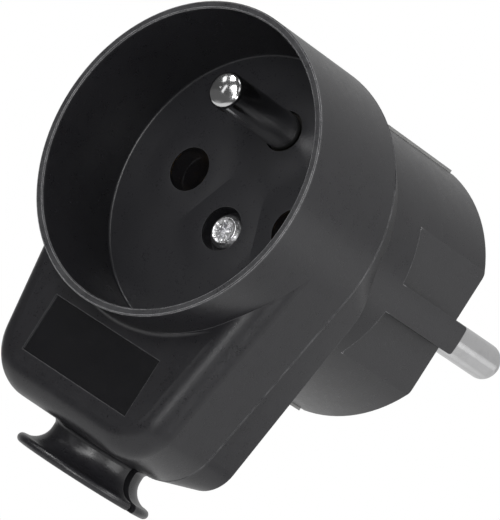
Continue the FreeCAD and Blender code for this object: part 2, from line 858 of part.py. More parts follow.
def side_earth_strip():
    """Upper side contact: an outer leg in its groove, a step through the wall, an inner leg."""
    half = side_strip_width / 2
    top = plug_radius + side_strip_stand
    step_y = flat_start_y - side_strip_thickness
    outer = block(-half, half, step_y, -side_strip_setback, top - side_strip_thickness, top)
    step = block(-half, half, step_y, flat_start_y, side_strip_inner, top)
    inner = block(-half, half, flange_inside_y, flat_start_y,
                  side_strip_inner, side_strip_inner + side_strip_thickness)
    return joined(outer, [step, inner])


# Terminals

def terminal_block(x, drop):
    half = terminal_size / 2
    body = block(x - half, x + half, terminal_front_y, plate_front_y, -drop - half, -drop + half)
    stake = rod(stake_radius, plate_front_y, flange_inside_y, x, -drop)
    hole = rod(terminal_screw[0] + thread_clearance, terminal_front_y - past, flange_inside_y + past,
               x, -drop)
    return joined(body, [stake]).cut(hole)


def terminal_saddle(x, drop):
    """Captive clamping plate with a lip on each side of the terminal block."""
    half = terminal_size / 2
    front_y = saddle_back_y - saddle_thickness
    inside = half + seat_gap
    outside = inside + saddle_lip
    saddle = block(x - outside, x + outside, front_y, saddle_lip_y, -drop - half, -drop + half)
    return saddle.cut([
        block(x - inside, x + inside, saddle_back_y, saddle_lip_y + past, -drop - far, -drop + far),
        rod(terminal_screw[0] + screw_clearance, front_y - past, saddle_back_y + past, x, -drop),
    ])


def screw_body(size):
    """Pan-headed screw along Y, pointing backwards, with the underside of its head at Y zero."""
    shank, head, height, length, bevel = size
    return turned([
        (0, -height),
        (head - bevel, -height),
        (head, -height + bevel),
        (head, 0),
        (shank, 0),
        (shank, length - shank / 2),
        (shank / 2, length),
        (0, length),
    ])


def drive_cut(size, long, wide):
    """Bar of metal that a slot, or one arm of a cross, takes out of a screw's head."""
    top_y = -size[2]
    return block(-long / 2, long / 2, top_y - past, top_y + slot_depth, -wide / 2, wide / 2)


def placed_screw(body, seat_y, x, drop):
    body.rotate(at(0, 0, 0), at(0, 1, 0), head_turn)
    body.translate(at(x, seat_y, -drop))
    return body


def slotted_screw(size, seat_y, x, drop):
    return placed_screw(screw_body(size).cut(drive_cut(size, far, slot_width)), seat_y, x, drop)


def terminal_screw_at(x, drop):
    return slotted_screw(terminal_screw, saddle_back_y - saddle_thickness - fit, x, drop)


# Lead clamp

def cable_clamp_bar():
    half = clamp_x + clamp_bar_overhang - clamp_bar_height / 2
    front_y = clamp_bar_back_y - clamp_bar_thickness
    low = -clamp_drop - clamp_bar_height / 2
    high = -clamp_drop + clamp_bar_height / 2
    ends = [rod(clamp_bar_height / 2, front_y, clamp_bar_back_y, side * half, -clamp_drop)
            for side in (-1, 1)]
    bar = joined(block(-half, half, front_y, clamp_bar_back_y, low, high), ends)
    arch = post(lead_radius + clamp_arch, low - past, high + past, 0, parting_y)
    holes = [rod(clamp_screw[0] + screw_clearance, front_y - past, clamp_bar_back_y + past,
                 side * clamp_x, -clamp_drop) for side in (-1, 1)]
    return bar.cut([arch] + holes)


def clamp_screw_at(side):
    seat_y = clamp_bar_back_y - clamp_bar_thickness - fit
    return slotted_screw(clamp_screw, seat_y, side * clamp_x, clamp_drop)


# Centre screw and its insert

def centre_screw():
    arms = [drive_cut(centre_screw_size, cross_length, cross_width),
            drive_cut(centre_screw_size, cross_width, cross_length)]
    return placed_screw(screw_body(centre_screw_size).cut(arms), head_seat_y - fit, 0, screw_drop)


def threaded_insert():
    """Brass bush with two waists in its outside."""
    band = insert_length / 5
    waist = insert_radius - insert_waist
    bore = centre_screw_size[0] + thread_clearance
    radii = [insert_radius, waist, insert_radius, waist, insert_radius]
    profile = [(bore, spigot_y)]
    for step, radius in enumerate(radii):
        profile += [(radius, spigot_y + step * band), (radius, spigot_y + (step + 1) * band)]
    profile.append((bore, spigot_y + insert_length))
    return turned(profile, 0, -screw_drop)


def turned_over(shape):
    """Upper piece turned half round the plug's axis, to its place at the bottom."""
    copy = shape.copy()
    copy.rotate(at(0, 0, 0), at(0, 1, 0), 180)
    return copy


def make_pieces():
    pieces = {
        "front_shell": front_shell(),
        "rear_shell": rear_shell(),
        "socket_earth_pin": socket_earth_pin(),
        "plug_earth_sleeve": plug_earth_sleeve(),
        "earth_bridge": earth_bridge(),
        "side_earth_strip_top": side_earth_strip(),
        "side_earth_strip_bottom": turned_over(side_earth_strip()),
        "centre_screw": centre_screw(),
        "threaded_insert": threaded_insert(),
        "cable_clamp_bar": cable_clamp_bar(),
        "clamp_screw_left": clamp_screw_at(-1),
        "clamp_screw_right": clamp_screw_at(1),
    }
    for name, make in (("plug_pin", plug_pin), ("contact_sleeve", contact_sleeve),
                       ("contact_spring", contact_spring), ("contact_link", contact_link)):
        pieces[name + "_right"] = make()
        pieces[name + "_left"] = mirrored(make())
    for place, x, drop in (("left", -link_x, terminal_drop), ("right", link_x, terminal_drop),
                           ("earth", 0.0, earth_terminal_drop)):
        pieces["terminal_block_" + place] = terminal_block(x, drop)
        pieces["terminal_saddle_" + place] = terminal_saddle(x, drop)
        pieces["terminal_screw_" + place] = terminal_screw_at(x, drop)
    return pieces


os.makedirs("parts", exist_ok=True)
for name, shape in make_pieces().items():
    shape.exportStep("parts/" + name + ".step")
    print(name, "solids", len(shape.Solids), "volume", round(shape.Volume, 1), "valid", shape.isValid())
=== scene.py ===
import math
import random

import bpy
from mathutils import Matrix, Vector


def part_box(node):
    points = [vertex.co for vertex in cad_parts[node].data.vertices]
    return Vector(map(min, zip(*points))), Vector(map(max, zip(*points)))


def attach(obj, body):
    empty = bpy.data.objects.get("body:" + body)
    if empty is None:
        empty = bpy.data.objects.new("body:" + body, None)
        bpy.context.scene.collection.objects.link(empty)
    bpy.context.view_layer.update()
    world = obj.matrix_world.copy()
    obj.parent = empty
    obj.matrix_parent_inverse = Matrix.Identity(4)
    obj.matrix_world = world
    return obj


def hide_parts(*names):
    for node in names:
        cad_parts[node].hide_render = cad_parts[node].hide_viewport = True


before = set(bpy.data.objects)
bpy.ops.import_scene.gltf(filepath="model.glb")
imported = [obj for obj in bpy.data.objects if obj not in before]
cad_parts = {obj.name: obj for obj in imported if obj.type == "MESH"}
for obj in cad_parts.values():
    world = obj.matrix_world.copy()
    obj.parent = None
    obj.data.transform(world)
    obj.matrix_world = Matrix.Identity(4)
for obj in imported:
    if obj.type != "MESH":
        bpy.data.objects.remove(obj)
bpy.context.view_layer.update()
scene = bpy.context.scene

mm = 0.001


# places that the materials take from the frame

frontLow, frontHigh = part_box("front_shell")
pinLow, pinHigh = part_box("plug_pin_right")
earthPinLow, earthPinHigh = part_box("socket_earth_pin")
screwLow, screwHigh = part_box("centre_screw")

rimY = frontLow.y
collarRadius = frontHigh.z
pinX = (pinLow.x + pinHigh.x) / 2
earthZ = (earthPinLow.z + earthPinHigh.z) / 2
screwZ = (screwLow.z + screwHigh.z) / 2


# camera

cameraPlan = {
    "azimuth": 39.232,        # degrees round the object, 0 looks along +Y
    "elevation": -0.818,
    "roll": 32.467,           # the object leans to the right in the picture
    "distance": 0.62766,
    "aim": (0.0109709, -0.0354261, -0.005722),
    "lens": 360.79,
    "sensor": 36.0,
    "clipStart": 0.01,
    "clipEnd": 20.0,
}


def aimFrom(thing, azimuth, elevation, turn, distance):
    # looks at the aim from a direction round it, turned about its own axis
    around = math.radians(azimuth)
    up = math.radians(elevation)
    back = Vector((math.sin(around) * math.cos(up), -math.cos(around) * math.cos(up), math.sin(up)))
    thing.location = Vector(cameraPlan["aim"]) + back * distance
    thing.rotation_mode = "QUATERNION"
    level = (-back).to_track_quat("-Z", "Y").to_matrix().to_4x4()
    thing.rotation_quaternion = (level @ Matrix.Rotation(math.radians(turn), 4, "Z")).to_quaternion()


def addCamera(plan):
    data = bpy.data.cameras.new("mainCamera")
    camera = bpy.data.objects.new("mainCamera", data)
    scene.collection.objects.link(camera)
    aimFrom(camera, plan["azimuth"], plan["elevation"], plan["roll"], plan["distance"])
    data.lens = plan["lens"]
    data.sensor_width = plan["sensor"]
    data.clip_start = plan["clipStart"]
    data.clip_end = plan["clipEnd"]
    data.dof.use_dof = False
    scene.camera = camera


addCamera(cameraPlan)
print("camera set")


# small node helpers

def newMaterial(name):
    material = bpy.data.materials.new(name)
    material.use_nodes = True
    tree = material.node_tree
    tree.nodes.clear()
    output = tree.nodes.new("ShaderNodeOutputMaterial")
    shader = tree.nodes.new("ShaderNodeBsdfPrincipled")
    tree.links.new(shader.outputs["BSDF"], output.inputs["Surface"])
    return material, tree, shader


def feedSocket(tree, socket, value):
    # a socket takes a link or a plain value
    if isinstance(value, bpy.types.NodeSocket):
        tree.links.new(value, socket)
    else:
        socket.default_value = value


def addNode(tree, kind, settings=None, inputs=None):
    node = tree.nodes.new(kind)
    for name, value in (settings or {}).items():
        setattr(node, name, value)
    for name, value in (inputs or {}).items():
        feedSocket(tree, node.inputs[name], value)
    return node


def operationNode(tree, kind, operation, values):
    node = addNode(tree, kind, {"operation": operation})
    for place, value in enumerate(values):
        feedSocket(tree, node.inputs[place], value)
    return node


def mathNode(tree, operation, *values):
    return operationNode(tree, "ShaderNodeMath", operation, values).outputs[0]


def vectorNode(tree, operation, *values):
    return operationNode(tree, "ShaderNodeVectorMath", operation, values)


def weighted(tree, *parts):
    # the sum of the values, each times its share
    total = None
    for value, share in parts:
        part = mathNode(tree, "MULTIPLY", value, share)
        total = part if total is None else mathNode(tree, "ADD", total, part)
    return total


def mixColour(tree, factor, first, second):
    node = addNode(tree, "ShaderNodeMix", {"data_type": "RGBA"})
    for place, value in (("Factor_Float", factor), ("A_Color", first), ("B_Color", second)):
        feedSocket(tree, next(s for s in node.inputs if s.identifier == place), value)
    return next(s for s in node.outputs if s.identifier == "Result_Color")


def mixShaders(tree, factor, first, second):
    node = tree.nodes.new("ShaderNodeMixShader")
    for place, output in enumerate((factor, first.outputs[0], second.outputs[0])):
        tree.links.new(output, node.inputs[place])
    return node


def rangeNode(tree, value, low, high, outLow=0.0, outHigh=1.0):
    return addNode(tree, "ShaderNodeMapRange", {"clamp": True}, {
        "Value": value, "From Min": low, "From Max": high,
        "To Min": outLow, "To Max": outHigh}).outputs["Result"]


def noiseNode(tree, point, scale, detail, roughness):
    return addNode(tree, "ShaderNodeTexNoise", inputs={
        "Vector": point, "Scale": scale, "Detail": detail, "Roughness": roughness}).outputs["Fac"]


def bumpNode(tree, height, distance, under=None):
    inputs = {"Height": height, "Distance": distance, "Strength": 1.0}
    if under is not None:
        inputs["Normal"] = under
    return addNode(tree, "ShaderNodeBump", inputs=inputs).outputs["Normal"]


def objectPoint(tree):
    return addNode(tree, "ShaderNodeTexCoord").outputs["Object"]


def splitPoint(tree, point):
    return addNode(tree, "ShaderNodeSeparateXYZ", inputs={"Vector": point}).outputs


def bandMask(tree, value, middle, band):
    # 1 within half the band of the middle, 0 beyond the band
    away = mathNode(tree, "ABSOLUTE", mathNode(tree, "SUBTRACT", value, middle))
    return rangeNode(tree, away, band, band / 2)


def groupTree(name, inputs, outputs):
    tree = bpy.data.node_groups.new(name, "ShaderNodeTree")
    for socketName, kind, value in inputs:
        socket = tree.interface.new_socket(name=socketName, in_out="INPUT", socket_type=kind)
        if value is not None:
            socket.default_value = value
    for socketName in outputs:
        tree.interface.new_socket(name=socketName, in_out="OUTPUT", socket_type="NodeSocketFloat")
    return tree, tree.nodes.new("NodeGroupInput").outputs, tree.nodes.new("NodeGroupOutput").inputs


# groups that materials share

grainPlan = {
    "grainNoise": (3.0, 0.6),         # detail and roughness
    "waveNoise": (2.0, 0.5),
}

edgePlan = {
    "samples": 6,
    "turned": (0.995, 0.85),          # how far the rounded normal turns away, as a cosine
    "breakupNoise": (4.0, 0.7),
    "breakupRange": (0.42, 0.62),
}


def makeGrainGroup(plan):
    # fine spark-eroded grain, and larger soft waves
    tree, given, result = groupTree("mouldGrain", [
        ("Vector", "NodeSocketVector", None),
        ("Grain Scale", "NodeSocketFloat", 5200.0),
        ("Wave Scale", "NodeSocketFloat", 160.0),
    ], ["Grain", "Waves"])
    for output, scale, noise in (("Grain", "Grain Scale", "grainNoise"),
                                 ("Waves", "Wave Scale", "waveNoise")):
        tree.links.new(noiseNode(tree, given["Vector"], given[scale], *plan[noise]), result[output])
    return tree


def makeEdgeGroup(plan):
    # 1 on edges sharper than the bevel radius, broken up by noise; these edges are painted pale, as
    # wear and as painted highlight
    tree, given, result = groupTree("edgeWear", [
        ("Vector", "NodeSocketVector", None),
        ("Radius", "NodeSocketFloat", 0.12 * mm),
        ("Breakup Scale", "NodeSocketFloat", 1500.0),
        ("Breakup", "NodeSocketFloat", 0.5),
    ], ["Wear"])
    bevel = addNode(tree, "ShaderNodeBevel", {"samples": plan["samples"]}, {"Radius": given["Radius"]})
    face = addNode(tree, "ShaderNodeNewGeometry")
    dot = vectorNode(tree, "DOT_PRODUCT", bevel.outputs["Normal"], face.outputs["Normal"])
    edge = rangeNode(tree, dot.outputs["Value"], *plan["turned"])
    noise = noiseNode(tree, given["Vector"], given["Breakup Scale"], *plan["breakupNoise"])
    broken = rangeNode(tree, noise, *plan["breakupRange"])
    share = mathNode(tree, "ADD", mathNode(tree, "SUBTRACT", 1.0, given["Breakup"]),
                     mathNode(tree, "MULTIPLY", broken, given["Breakup"]))
    tree.links.new(mathNode(tree, "MULTIPLY", edge, share), result["Wear"])
    return tree


grainGroup = makeGrainGroup(grainPlan)
edgeGroup = makeEdgeGroup(edgePlan)
print("shared groups made")


# black moulded plastic of the two shells

shellLook = {
    "colour": (0.0068, 0.0066, 0.0080, 1.0),
    "paleColour": (0.0145, 0.0143, 0.0160, 1.0),
    # pale grey of worn edges, which also stands for painted highlight on them
    "wearAndSheenColour": (0.46, 0.46, 0.47, 1.0),
    "specular": 0.42,
    "roughLow": 0.24,
    "roughHigh": 0.38,
    "roughRange": (0.3, 0.7),
    "roughShares": (0.6, 0.4),        # of the grain and the scuffs
    "grainScale": 4300.0,
    "grainHeight": 0.016 * mm,
    "waveScale": 150.0,
    "waveHeight": 0.05 * mm,
    "scuffNoise": (620.0, 4.0, 0.6),  # scale, detail and roughness
    "speckleRange": (0.32, 0.68),
    "cloudRange": (0.30, 0.70),
    "paleShares": (0.45, 0.35, 0.20),  # of the speckle, the cloud and the waves
    # worn edges, also painted as highlight: depth behind the rim, half width of the band and how
    # strongly worn and highlit
    "edgeRadius": 0.13 * mm,
    "edgeBreakup": 0.45,
    "faintWear": 0.07,
    "wearAndSheenEdges": ((0.0 * mm, 1.2 * mm, 1.0), (6.3 * mm, 0.5 * mm, 0.22),
                  (17.5 * mm, 0.5 * mm, 0.20), (22.4 * mm, 0.7 * mm, 0.45),
                  (28.4 * mm, 0.8 * mm, 0.9)),
    # recess floor, which swells round its holes
    "floorColour": (0.016, 0.016, 0.018, 1.0),
    "recessDepth": 14.5 * mm,
    "floorBand": 0.4 * mm,
    "floorEdge": (1.0 * mm, 1.2 * mm),  # inside the collar's outer radius
    "swellInner": 2.6 * mm,
    "swellOuter": 7.5 * mm,
    "swellHeight": 0.20 * mm,
    # face of the rim and the parting line, both painted paler as highlight and sheen
    "rimBand": 0.5 * mm,
    # rim face painted paler as painted sheen
    "rimSheenColour": (0.050, 0.050, 0.052, 1.0),
    "seamDepth": 17.5 * mm,
    "seamBand": 0.15 * mm,
    # parting line painted paler as painted highlight
    "seamHighlightColour": (0.07, 0.07, 0.073, 1.0),
    # floor of the label recess, which is smoother and painted darker as shade
    # label floor painted darker as painted shade
    "labelShadeColour": (0.0050, 0.0050, 0.0058, 1.0),
    "labelDepth": 6.55 * mm,
    "labelBand": 0.12 * mm,
    "labelHalfWidth": 9.74 * mm,
    "labelTop": -21.8 * mm,
    "labelBottom": -29.7 * mm,
    "labelEdge": 0.02 * mm,
    "labelSmooth": 0.12,
}


def wearAndSheenPlaces(tree, place, look):
    # how strongly an edge is worn and painted with highlight at each depth behind the rim
    total = look["faintWear"]
    for depth, band, amount in look["wearAndSheenEdges"]:
        mask = bandMask(tree, place["Y"], rimY + depth, band)
        total = mathNode(tree, "MAXIMUM", total, mathNode(tree, "MULTIPLY", mask, amount))
    return total


def labelMask(tree, place, look):
    # 1 on the floor of the label recess
    mask = bandMask(tree, place["Y"], rimY + look["labelDepth"], look["labelBand"])
    halfWidth, top, bottom = look["labelHalfWidth"], look["labelTop"], look["labelBottom"]
    edge = look["labelEdge"]
    for value, outside, inside in (
            (mathNode(tree, "ABSOLUTE", place["X"]), halfWidth, halfWidth - edge),
            (place["Z"], bottom, bottom + edge),
            (place["Z"], top, top - edge)):
        mask = mathNode(tree, "MULTIPLY", mask, rangeNode(tree, value, outside, inside))
    return mask


def floorMask(tree, flat, place, look):
    # 1 on the recess floor
    onFloor = bandMask(tree, place["Y"], rimY + look["recessDepth"], look["floorBand"])
    reach = vectorNode(tree, "LENGTH", flat).outputs["Value"]
    outside, inside = (collarRadius - gap for gap in look["floorEdge"])
    return mathNode(tree, "MULTIPLY", onFloor, rangeNode(tree, reach, outside, inside))


def holeSwell(tree, flat, look):
    # 1 at each hole of the recess floor, falling softly to 0 round it
    total = None
    for x, z in ((-pinX, 0.0), (pinX, 0.0), (0.0, earthZ), (0.0, screwZ)):
        gap = vectorNode(tree, "DISTANCE", flat, (x, 0.0, z)).outputs["Value"]
        swell = addNode(tree, "ShaderNodeMapRange", {"interpolation_type": "SMOOTHERSTEP"}, {
            "Value": gap, "From Min": look["swellOuter"],
            "From Max": look["swellInner"]}).outputs["Result"]
        total = swell if total is None else mathNode(tree, "MAXIMUM", total, swell)
    return total


def makeShellPlastic(look):
    material, tree, shader = newMaterial("blackMouldedPlastic")
    point = objectPoint(tree)
    place = splitPoint(tree, point)
    flat = vectorNode(tree, "MULTIPLY", point, (1.0, 0.0, 1.0)).outputs["Vector"]
    grain = addNode(tree, "ShaderNodeGroup", {"node_tree": grainGroup}, {
        "Vector": point, "Grain Scale": look["grainScale"], "Wave Scale": look["waveScale"]}).outputs
    edgeWearAndSheen = addNode(tree, "ShaderNodeGroup", {"node_tree": edgeGroup}, {
        "Vector": point, "Radius": look["edgeRadius"], "Breakup": look["edgeBreakup"]}).outputs["Wear"]
    scuffs = noiseNode(tree, point, *look["scuffNoise"])
    onFloor = floorMask(tree, flat, place, look)
    onLabel = labelMask(tree, place, look)

    # colour: mottled plastic, then floor, the label darker as painted shade, the parting line and rim
    # paler as painted highlight and sheen, and worn edges pale as wear and painted highlight over it
    cloud = rangeNode(tree, scuffs, *look["cloudRange"])
    speckle = rangeNode(tree, grain["Grain"], *look["speckleRange"])
    pale = weighted(tree, *zip((speckle, cloud, grain["Waves"]), look["paleShares"]))
    onSeam = bandMask(tree, place["Y"], rimY + look["seamDepth"], look["seamBand"])
    onRim = bandMask(tree, place["Y"], rimY, look["rimBand"])
    # edges worn and painted with highlight, by depth behind the rim
    worn = wearAndSheenPlaces(tree, place, look)
    colour = mixColour(tree, pale, look["colour"], look["paleColour"])
    # label floor darker as painted shade
    for mask, name in ((onFloor, "floorColour"), (onLabel, "labelShadeColour"),
                       # parting line paler as painted highlight
                       (mathNode(tree, "MULTIPLY", cloud, onSeam), "seamHighlightColour"),
                       # rim face paler as painted sheen
                       (mathNode(tree, "MULTIPLY", pale, onRim), "rimSheenColour"),
                       # worn edges painted pale, as wear and as painted highlight
                       (mathNode(tree, "MULTIPLY", edgeWearAndSheen, worn), "wearAndSheenColour")):
        colour = mixColour(tree, mask, colour, look[name])
    tree.links.new(colour, shader.inputs["Base Color"])

    mixed = weighted(tree, *zip((grain["Grain"], scuffs), look["roughShares"]))
    rough = rangeNode(tree, mixed, *look["roughRange"], look["roughLow"], look["roughHigh"])
    smooth = mathNode(tree, "MULTIPLY", onLabel, look["labelSmooth"])
    tree.links.new(mathNode(tree, "SUBTRACT", rough, smooth), shader.inputs["Roughness"])

    swell = mathNode(tree, "MULTIPLY", holeSwell(tree, flat, look), onFloor)
    normal = bumpNode(tree, swell, look["swellHeight"])
    normal = bumpNode(tree, grain["Waves"], look["waveHeight"], normal)
    normal = bumpNode(tree, grain["Grain"], look["grainHeight"], normal)
    tree.links.new(normal, shader.inputs["Normal"])
    shader.inputs["Specular IOR Level"].default_value = look["specular"]
    return material


# metals: each has a noise that dulls its colour and its gloss

def finishMetal(tree, shader, colour, rough, normal):
    tree.links.new(colour, shader.inputs["Base Color"])
    tree.links.new(rough, shader.inputs["Roughness"])
    tree.links.new(normal, shader.inputs["Normal"])
    shader.inputs["Metallic"].default_value = 1.0


nickelLook = {
    "colour": (0.60, 0.60, 0.605, 1.0),
    "dullColour": (0.54, 0.54, 0.545, 1.0),
    "roughLow": 0.12,
    "roughHigh": 0.20,
    "smudgeNoise": (420.0, 5.0, 0.6),
    "dullRange": (0.45, 0.75),
    "roughRange": (0.35, 0.75),
    "ringNoise": (2600.0, 3.0, 0.6),
    "ringStretch": (0.08, 1.0, 0.08),  # the rings of turning lie across the pin
    "ringHeight": 0.002 * mm,
    # the foot of the earth pin, round and behind the recess floor, is painted dark as shade and made
    # rough
    "footDepth": 17.1 * mm,
    "footBand": 4.2 * mm,
    # dark colour of the pin's foot is painted shade
    "footShadeColour": (0.035, 0.033, 0.030, 1.0),
    "footRough": 0.65,
}

stripLook = dict(nickelLook, colour=(0.30, 0.30, 0.295, 1.0), dullColour=(0.22, 0.22, 0.22, 1.0),
                 roughLow=0.45, roughHigh=0.60)


def makeNickel(name, look):
    material, tree, shader = newMaterial(name)
    point = objectPoint(tree)
    smudge = noiseNode(tree, point, *look["smudgeNoise"])
    foot = bandMask(tree, splitPoint(tree, point)["Y"], rimY + look["footDepth"], look["footBand"])
    dull = rangeNode(tree, smudge, *look["dullRange"])
    plated = mixColour(tree, dull, look["colour"], look["dullColour"])
    rough = rangeNode(tree, smudge, *look["roughRange"], look["roughLow"], look["roughHigh"])
    rough = mathNode(tree, "MAXIMUM", rough, mathNode(tree, "MULTIPLY", foot, look["footRough"]))
    stretch = addNode(tree, "ShaderNodeMapping", inputs={
        "Vector": point, "Scale": look["ringStretch"]}).outputs["Vector"]
    rings = noiseNode(tree, stretch, *look["ringNoise"])
    # the pin's foot is mixed to the painted shade colour
    finishMetal(tree, shader, mixColour(tree, foot, plated, look["footShadeColour"]), rough,
                bumpNode(tree, rings, look["ringHeight"]))
    return material


zincLook = {
    "colour": (0.95, 0.95, 0.96, 1.0),
    "dullColour": (0.62, 0.62, 0.64, 1.0),
    "roughLow": 0.24,
    "roughHigh": 0.46,
    "cloudNoise": (900.0, 6.0, 0.7),
    "dullRange": (0.45, 0.65),
    "roughRange": (0.35, 0.7),
    "flakeScale": 2300.0,
    "flakeHeight": 0.02 * mm,
}


def makeZinc(look):
    material, tree, shader = newMaterial("zincSteel")
    point = objectPoint(tree)
    flakes = addNode(tree, "ShaderNodeTexVoronoi", {"feature": "F1"}, {
        "Vector": point, "Scale": look["flakeScale"], "Randomness": 1.0}).outputs["Distance"]
    cloud = noiseNode(tree, point, *look["cloudNoise"])
    dull = rangeNode(tree, cloud, *look["dullRange"])
    rough = rangeNode(tree, cloud, *look["roughRange"], look["roughLow"], look["roughHigh"])
    finishMetal(tree, shader, mixColour(tree, dull, look["colour"], look["dullColour"]), rough,
                bumpNode(tree, mathNode(tree, "ADD", flakes, cloud), look["flakeHeight"]))
    return material


brassLook = {
    "colour": (0.72, 0.50, 0.22, 1.0),
    "darkColour": (0.40, 0.25, 0.10, 1.0),
    "roughLow": 0.22,
    "roughHigh": 0.45,
    "tarnishNoise": (300.0, 6.0, 0.65),
    "darkRange": (0.45, 0.75),
    "roughRange": (0.3, 0.75),
    "fineNoise": (6000.0, 2.0, 0.5),
    "fineHeight": 0.004 * mm,
}


def makeBrass(look):
    material, tree, shader = newMaterial("contactBrass")
    point = objectPoint(tree)
    tarnish = noiseNode(tree, point, *look["tarnishNoise"])
    dark = rangeNode(tree, tarnish, *look["darkRange"])
    rough = rangeNode(tree, tarnish, *look["roughRange"], look["roughLow"], look["roughHigh"])
    finishMetal(tree, shader, mixColour(tree, dark, look["colour"], look["darkColour"]), rough,
                bumpNode(tree, noiseNode(tree, point, *look["fineNoise"]), look["fineHeight"]))
    return material


springLook = {
    "colour": (0.20, 0.21, 0.24, 1.0),
    "heatColour": (0.12, 0.10, 0.11, 1.0),
    "roughLow": 0.25,
    "roughHigh": 0.40,
    "stainNoise": (350.0, 4.0, 0.6),
    "roughRange": (0.3, 0.7),
    "stainHeight": 0.01 * mm,
}


def makeSpring(look):
    material, tree, shader = newMaterial("springSteel")
    stain = noiseNode(tree, objectPoint(tree), *look["stainNoise"])
    rough = rangeNode(tree, stain, *look["roughRange"], look["roughLow"], look["roughHigh"])
    finishMetal(tree, shader, mixColour(tree, stain, look["colour"], look["heatColour"]), rough,
                bumpNode(tree, stain, look["stainHeight"]))
    return material


shellPlastic = makeShellPlastic(shellLook)
nickelPlate = makeNickel("nickelPlate", nickelLook)
dullStrip = makeNickel("dullStrip", stripLook)
zincSteel = makeZinc(zincLook)
contactBrass = makeBrass(brassLook)
springSteel = makeSpring(springLook)

# how the names of the nodes start; all others are brass
nodeFinish = {
    "front_shell": shellPlastic,
    "rear_shell": shellPlastic,
    "socket_earth_pin": nickelPlate,
    "plug_pin": nickelPlate,
    "side_earth_strip": dullStrip,
    "centre_screw": zincSteel,
    "clamp_screw": zincSteel,
    "terminal_screw": zincSteel,
    "cable_clamp_bar": zincSteel,
    "terminal_saddle": zincSteel,
    "contact_spring": springSteel,
}

for nodeName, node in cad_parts.items():
    finish = next((m for start, m in nodeFinish.items() if nodeName.startswith(start)), contactBrass)
    node.data.materials.clear()
    node.data.materials.append(finish)
print("materials given to all nodes")


# screws, modelled standing on Z with the underside of the head at zero

levelShare = 0.9                # a face counts as level when its normal lies this far along Z

commonScrew = {
    "sides": 40,
    "bevelSegments": 2,
    "driveTurn": 25.0,
    "driveOver": 1.0 * mm,      # how far the cutting bar stands out of the head
    "pitch": 0.80 * mm,
    "threadShare": 0.80,        # radius of the thread's section against its depth
    "threadStart": 0.35 * mm,
    "threadSteps": 24,
    "threadMerge": 0.00001 * mm,
    "tipShare": 0.5,
    "neck": 0.2 * mm,           # how far the shank goes into the head
    "weldReach": 0.003 * mm,
    "smoothAngle": 35.0,
}

centreScrewPlan = dict(commonScrew, **{
    "headRadius": 2.2 * mm,
    "headHeight": 1.7 * mm,
    "headEdge": 1.15 * mm,      # height of the head's upright side
    "domeSteps": ((0.40 * mm, 0.38 * mm),),  # rise and inset
    "topShare": 0.93,
    "bevel": 0.0,
    "shankRadius": 1.2 * mm,
    "threadDepth": 0.24 * mm,
    "driveTurns": (0.0, 90.0),  # a cross
    "driveLength": 2.9 * mm,
    "driveWidth": 0.62 * mm,
    "driveDepth": 1.0 * mm,
    "driveTaper": 0.55,
    # a worn head with a dish and radial grooves
    "worn": True,
    "dishShare": 0.86,
    "dishDepth": 0.08 * mm,
    "middleShare": 0.42,
    "grooveDepth": 0.12 * mm,
    "grooveReach": (0.9, 0.75),  # inwards from the middle, outwards to the dish's rim
    "grooveLevel": 0.7,
    "grooveChance": 0.5,
    "grooveSeed": 5,
    "voxel": 0.05 * mm,
    "lumpSize": 0.38 * mm,
    "lumpHeight": 0.07 * mm,
    "lumpDepth": 2,
})

terminalScrewPlan = dict(commonScrew, **{
    "headRadius": 2.4 * mm,
    "headHeight": 1.5 * mm,
    "headEdge": 0.6 * mm,
    "domeSteps": ((0.35 * mm, 0.50 * mm), (0.60 * mm, 0.25 * mm)),
    "topShare": 0.62,
    "bevel": 0.06 * mm,
    "shankRadius": 1.45 * mm,
    "threadDepth": 0.22 * mm,
    "driveTurns": (0.0,),       # a slot
    "driveLength": 7.0 * mm,
    "driveWidth": 0.66 * mm,
    "driveDepth": 0.8 * mm,
    "driveTaper": 0.9,
    "worn": False,
})

clampScrewPlan = dict(terminalScrewPlan, **{
    "headRadius": 2.3 * mm,
    "headHeight": 1.3 * mm,
    "headEdge": 0.5 * mm,
    "domeSteps": ((0.35 * mm, 0.45 * mm), (0.60 * mm, 0.25 * mm)),
    "shankRadius": 1.3 * mm,
})


def deselectAll():
    bpy.ops.object.select_all(action="DESELECT")


def chooseOnly(shape):
    deselectAll()
    shape.select_set(True)
    bpy.context.view_layer.objects.active = shape


def editFaces():
    bpy.ops.object.mode_set(mode="EDIT")
    bpy.ops.mesh.select_mode(type="FACE")


def pickFaces(shape, chosen):
    # in edit mode, only the faces whose middle and normal the test accepts are selected
    bpy.ops.mesh.select_all(action="DESELECT")
    bpy.ops.object.mode_set(mode="OBJECT")
    for face in shape.data.polygons:
        face.select = chosen(face.center, face.normal)
    bpy.ops.object.mode_set(mode="EDIT")


def facesUp(middle, normal):
    return normal.z > levelShare


def facesDown(middle, normal):
    return normal.z < -levelShare


def extrudeBy(rise, share=1.0, z=0.0):
    # the selected faces are drawn out along Z and drawn in towards the axis
    bpy.ops.mesh.extrude_region_move(TRANSFORM_OT_translate={"value": (0, 0, rise)})
    if share != 1.0:
        bpy.ops.transform.resize(value=(share, share, 1.0), center_override=(0, 0, z))


def applyModifier(shape, kind, settings):
    modifier = shape.modifiers.new(kind.lower(), kind)
    for name, value in settings.items():
        setattr(modifier, name, value)
    bpy.context.view_layer.objects.active = shape
    bpy.ops.object.modifier_apply(modifier=modifier.name)


def removeShape(shape):
    mesh = shape.data
    bpy.data.objects.remove(shape)
    bpy.data.meshes.remove(mesh)


def combine(shape, other, operation):
    applyModifier(shape, "BOOLEAN", {"object": other, "operation": operation, "solver": "EXACT"})
    removeShape(other)


